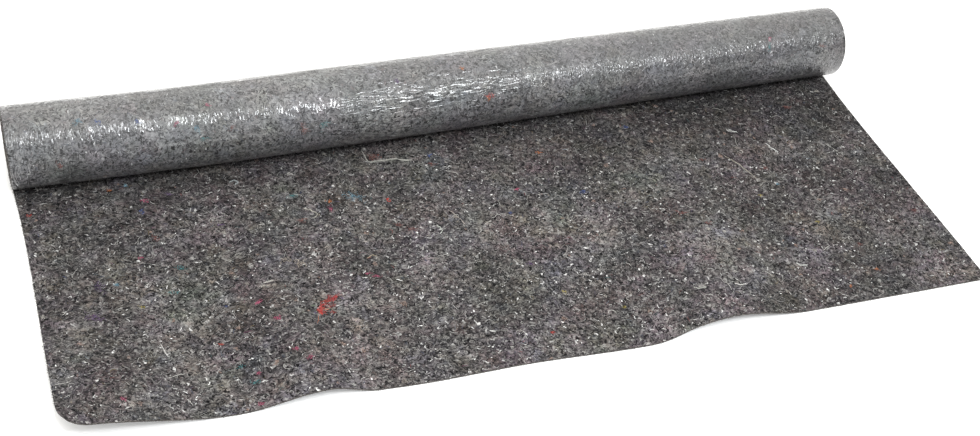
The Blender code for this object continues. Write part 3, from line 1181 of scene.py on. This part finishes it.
def film_tuft_lines(rng, tuft):
    """A tuft's that is pressed against the film."""
    count = int(6 + 1800 * tuft.length)
    reach = 0.28 * tuft.length + 0.001
    centre, heading = (tuft.x, tuft.arc), rng.uniform(0, 3)
    lines = bunch(rng, centre, heading, tuft.length, 0.6 * tuft.length, count, reach, 2 * reach, 0.5)
    radii = rng.uniform(0.00012, 0.00024, count)
    return lines, radii, np.array(COLOURS[tuft.colour]) * rng.uniform(0.4, 0.8, (count, 1)) + 0.06


def joined(fibres):
    """The lines, the radii and the tints of all of them."""
    return [np.concatenate(part) for part in zip(*fibres)]


def lay_on_felt(name, rng, fibres, lift, material):
    lines, radii, tints = joined(fibres)
    paths = on_sheet(lines, radii, mostly_low(rng, 0, lift, len(lines), 1.5))
    return tube_mesh(name, paths, radii, np.clip(tints, 0, 1), material)


def make_tufts(material):
    rng = np.random.default_rng(301)
    fibres = [tuft_lines(rng, tuft) for tuft in TUFTS]
    fibres += [strand_lines(rng, wisp, FIBRE_POINTS) for wisp in WISPS]
    return lay_on_felt("coloured_tufts", rng, fibres, 0.0012, material)


def make_neps(material):
    """Small soft knots of pale or dark fibre, all over the felt."""
    rng = np.random.default_rng(302)
    return lay_on_felt("neps", rng, [nep_lines(rng) for _ in range(300)], 0.0012, material)


def make_yarns(material):
    """The threads that can be told apart, and a scatter of thin white curls."""
    rng = np.random.default_rng(303)
    fibres = [strand_lines(rng, yarn, YARN_POINTS) for yarn in YARNS]
    count = 240
    lines = scatter(rng, count, YARN_POINTS, rng.uniform(0.006, 0.019, count), 0.28)
    radii = rng.uniform(0.00012, 0.00024, count)
    tints = np.array((0.70, 0.69, 0.66)) * rng.uniform(0.55, 1.1, (count, 1))
    return lay_on_felt("yarns", rng, [*fibres, (lines, radii, tints)], 0.0016, material)


def make_edge_fuzz(material):
    """Short fibres that stand out of the side edges and the front cut."""
    rng = np.random.default_rng(304)
    count = 2400
    side = rng.integers(0, 10, count)
    along = rng.uniform(0.03, 1, count)
    across = rng.uniform(0, 1, count)
    left, right = side < 2, side > 7
    start_x = np.where(left, 0.0, np.where(right, 1.0, across)) * CLOTH_WIDTH
    start_y = np.where(left | right, along, 1.0) * LOOSE_RIGHT
    outward = np.where(left, math.pi, np.where(right, 0.0, math.pi / 2))
    heading = outward[:, None] + rng.normal(0, 0.75, (count, 1))
    heading = heading + np.cumsum(rng.normal(0, 0.4, (count, FUZZ_POINTS - 1)), axis=1)
    lines = walked(heading, mostly_low(rng, 0.0010, 0.0040, count))
    lines = lines - 0.35 * (lines[:, -1] - lines[:, 0])[:, None]
    lines = lines + np.stack([start_x, start_y], axis=1)[:, None]
    radius = rng.uniform(0.00007, 0.00015, count)
    height = rng.uniform(0.0003, 0.0020, count)[:, None] + rng.normal(0, 0.0002, (count, FUZZ_POINTS))
    paths = sheet_point(lines[..., 0] / CLOTH_WIDTH, lines[..., 1] / LOOSE_RIGHT, height)
    tints = np.array(EDGE_COLOURS)[rng.integers(0, 4, count)]
    return tube_mesh("edge_fuzz", paths, radius, tints, material)


def make_end_fuzz(material):
    """Short fibres that stand out of the turns at both ends of the roll."""
    rng = np.random.default_rng(305)
    count = 2200
    turn = ALL_TURNS * (1 - np.sqrt(1 - rng.uniform(0, 0.985, (count, 1))))
    end = rng.choice((-1.0, 1.0), (count, 1))
    size = mostly_low(rng, 0.0008, 0.0030, (count, 1))
    wander = np.cumsum(rng.normal(0, 0.10, (count, FUZZ_POINTS)), axis=1) * size
    depth = rng.uniform(0.0002, 0.0017, (count, 1)) + wander
    around = np.cumsum(rng.normal(0, 0.16, (count, FUZZ_POINTS)), axis=1) * size
    turned = turn + around / (math.tau * (ROLL_RADIUS - TURN_PITCH * turn))
    out = np.linspace(-0.3, 0.7, FUZZ_POINTS) * size
    paths = roll_point(end * (CLOTH_WIDTH / 2 + out), turned, depth)
    radius = rng.uniform(0.00007, 0.00014, count)
    tints = np.array(END_COLOURS)[rng.integers(0, 4, count)]
    return tube_mesh("end_fuzz", paths, radius, tints, material)


def make_film_tufts(material):
    rng = np.random.default_rng(306)
    lines, radii, tints = joined([film_tuft_lines(rng, tuft) for tuft in FILM_TUFTS])
    x, arc = lines[..., 0], lines[..., 1]
    just_clear = 0.00002
    paths = roll_point(x, arc / (math.tau * ROLL_RADIUS), -film_relief(x, arc) - just_clear)
    return tube_mesh("film_tufts", paths, radii, tints, material)


# ---------------- light and camera


SKY = (  # degrees up from the front, over the top and down to the back; brightness there
    (0, 0.35),
    (30, 0.24),
    (48, 0.34),
    (62, 1.60),
    (85, 1.50),
    (110, 1.60),
    (145, 1.45),
    (160, 1.70),
    (172, 0.70),
    (180, 0.45),
)
SKY_STRENGTH = 4.0  # of the light, so that the colours stay under 1
SKY_TINT = (1, 1 / 1.02, 1 / 1.07)
SKY_AT_RIGHT = 0.64  # of that brightness
FLOOR_HALF, FLOOR_BELOW = 12.0, 0.0002  # half its width, and how far it lies under the cloth
FLOOR_GLOW = 0.20


class Lamp(NamedTuple):
    """A soft box in front of the roll."""

    name: str
    x: float
    elevation: float  # degrees, seen from the roll
    width: float
    height: float
    power: float


LAMPS = (
    Lamp("Middle lamp", 0.72, 50, 0.56, 0.38, 20.5),
    Lamp("Left lamp", -0.45, 62, 0.24, 0.78, 16),
    Lamp("Left fill", -0.35, 25, 1.10, 1.10, 6.0),
    Lamp("Right lamp", 1.12, 48, 0.30, 0.24, 3),
)
LAMP_COLOUR = (0.95, 0.98, 1.0)
LAMP_DISTANCE, LAMP_CENTRE, LAMP_AIM = 2.3, (0.15, 0.06), (0, 0.10, 0)

CAMERA_ANGLES = (-27.697, 43.403, 10.402)  # azimuth, elevation and roll, in degrees
CAMERA_AIM, CAMERA_DISTANCE, CAMERA_LENS = (-0.0175, 0.0026, 0), 1.5327, 51.43


def make_sky():
    """A studio that is darker in front than overhead and behind."""
    tree = Tree("Studio", bpy.data.worlds)
    x, y, z = tree.add("SeparateXYZ", {0: tree.add("TexCoord").outputs["Generated"]}).outputs
    angle = tree.math("ARCTAN2", z, tree.times(y, -1.0))
    share = tree.math("DIVIDE", angle, math.pi, clamp=True)
    stops = [(at / 180, [level * part / SKY_STRENGTH for part in SKY_TINT]) for at, level in SKY]
    dimmer = tree.grey(tree.ranged(x, 0.0, 0.8, 1.0, SKY_AT_RIGHT))
    light = tree.nodes["Background"].inputs
    tree.put(light["Color"], tree.mix(1.0, tree.ramp(share, stops)[0], dimmer, "MULTIPLY"))
    tree.put(light["Strength"], SKY_STRENGTH)
    bpy.context.scene.world = tree.material


def add_lamp(lamp):
    """Sets a lamp on a circle about a line along the roll, turned to the cloth."""
    angle = math.radians(lamp.elevation)
    y = LAMP_CENTRE[0] - LAMP_DISTANCE * math.cos(angle)
    z = LAMP_CENTRE[1] + LAMP_DISTANCE * math.sin(angle)
    light = bpy.data.lights.new(lamp.name, "AREA")
    light.shape = "RECTANGLE"
    light.size, light.size_y = lamp.width, lamp.height
    light.energy = lamp.power
    light.color = LAMP_COLOUR
    made = bpy.data.objects.new(lamp.name, light)
    made.location = (lamp.x, y, z)
    towards = Vector(LAMP_AIM) - Vector((lamp.x, y, z))
    made.rotation_euler = towards.to_track_quat("-Z", "Y").to_euler()
    bpy.context.scene.collection.objects.link(made)


def make_stage():
    make_sky()
    corners = FLOOR_HALF * np.array([(-1, -1, 0), (1, -1, 0), (1, 1, 0), (-1, 1, 0)])
    floor = mesh_object("floor", corners, [np.array([[0, 1, 2, 3]])], [floor_material("pale floor")])
    floor.location.z = -FLOOR_BELOW
    for lamp in LAMPS:
        add_lamp(lamp)


def make_camera():
    azimuth, elevation, roll = (math.radians(angle) for angle in CAMERA_ANGLES)
    level = math.cos(elevation)
    back = Vector((math.sin(azimuth) * level, -math.cos(azimuth) * level, math.sin(elevation)))
    level_right = (-back).cross(Vector((0, 0, 1))).normalized()
    level_up = level_right.cross(-back)
    right = math.cos(roll) * level_right + math.sin(roll) * level_up
    up = math.cos(roll) * level_up - math.sin(roll) * level_right
    camera = bpy.data.cameras.new("Camera")
    camera.lens = CAMERA_LENS
    camera.sensor_width = 36
    camera.sensor_fit = "HORIZONTAL"
    camera.clip_start = 0.05
    made = bpy.data.objects.new("Camera", camera)
    turned = Matrix((right, up, back)).transposed().to_4x4()
    made.matrix_world = Matrix.Translation(Vector(CAMERA_AIM) + back * CAMERA_DISTANCE) @ turned
    bpy.context.scene.collection.objects.link(made)
    bpy.context.scene.camera = made


def main():
    scene = bpy.context.scene
    scene.view_settings.view_transform = "Standard"
    scene.view_settings.look = "None"
    felt = felt_material("felt side")
    film = film_material("film side")
    edge = painted_shade_edge_material("cut edge in painted shade")
    fibre = fibre_material("loose fibres", 0.0)
    filmed = fibre_material("fibres behind film", 1.0)

    loose = make_loose_end([felt, film, edge])
    outer = make_outer_turn([film, felt, edge])
    inner = make_inner_turns([film, felt, edge])
    fibres = [make_fibres(kind, 100 + n, fibre) for n, kind in enumerate(FIBRE_KINDS)]
    fibres += [make_tufts(fibre), make_neps(fibre), make_yarns(fibre), make_edge_fuzz(fibre)]
    under_film = make_film_tufts(filmed)
    ends = make_end_fuzz(fibre)

    for piece in (loose, outer, inner, under_film, ends, *fibres):
        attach(piece, "root")
    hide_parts("loose_end")
    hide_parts("wound_roll")
    make_stage()
    make_camera()


main()
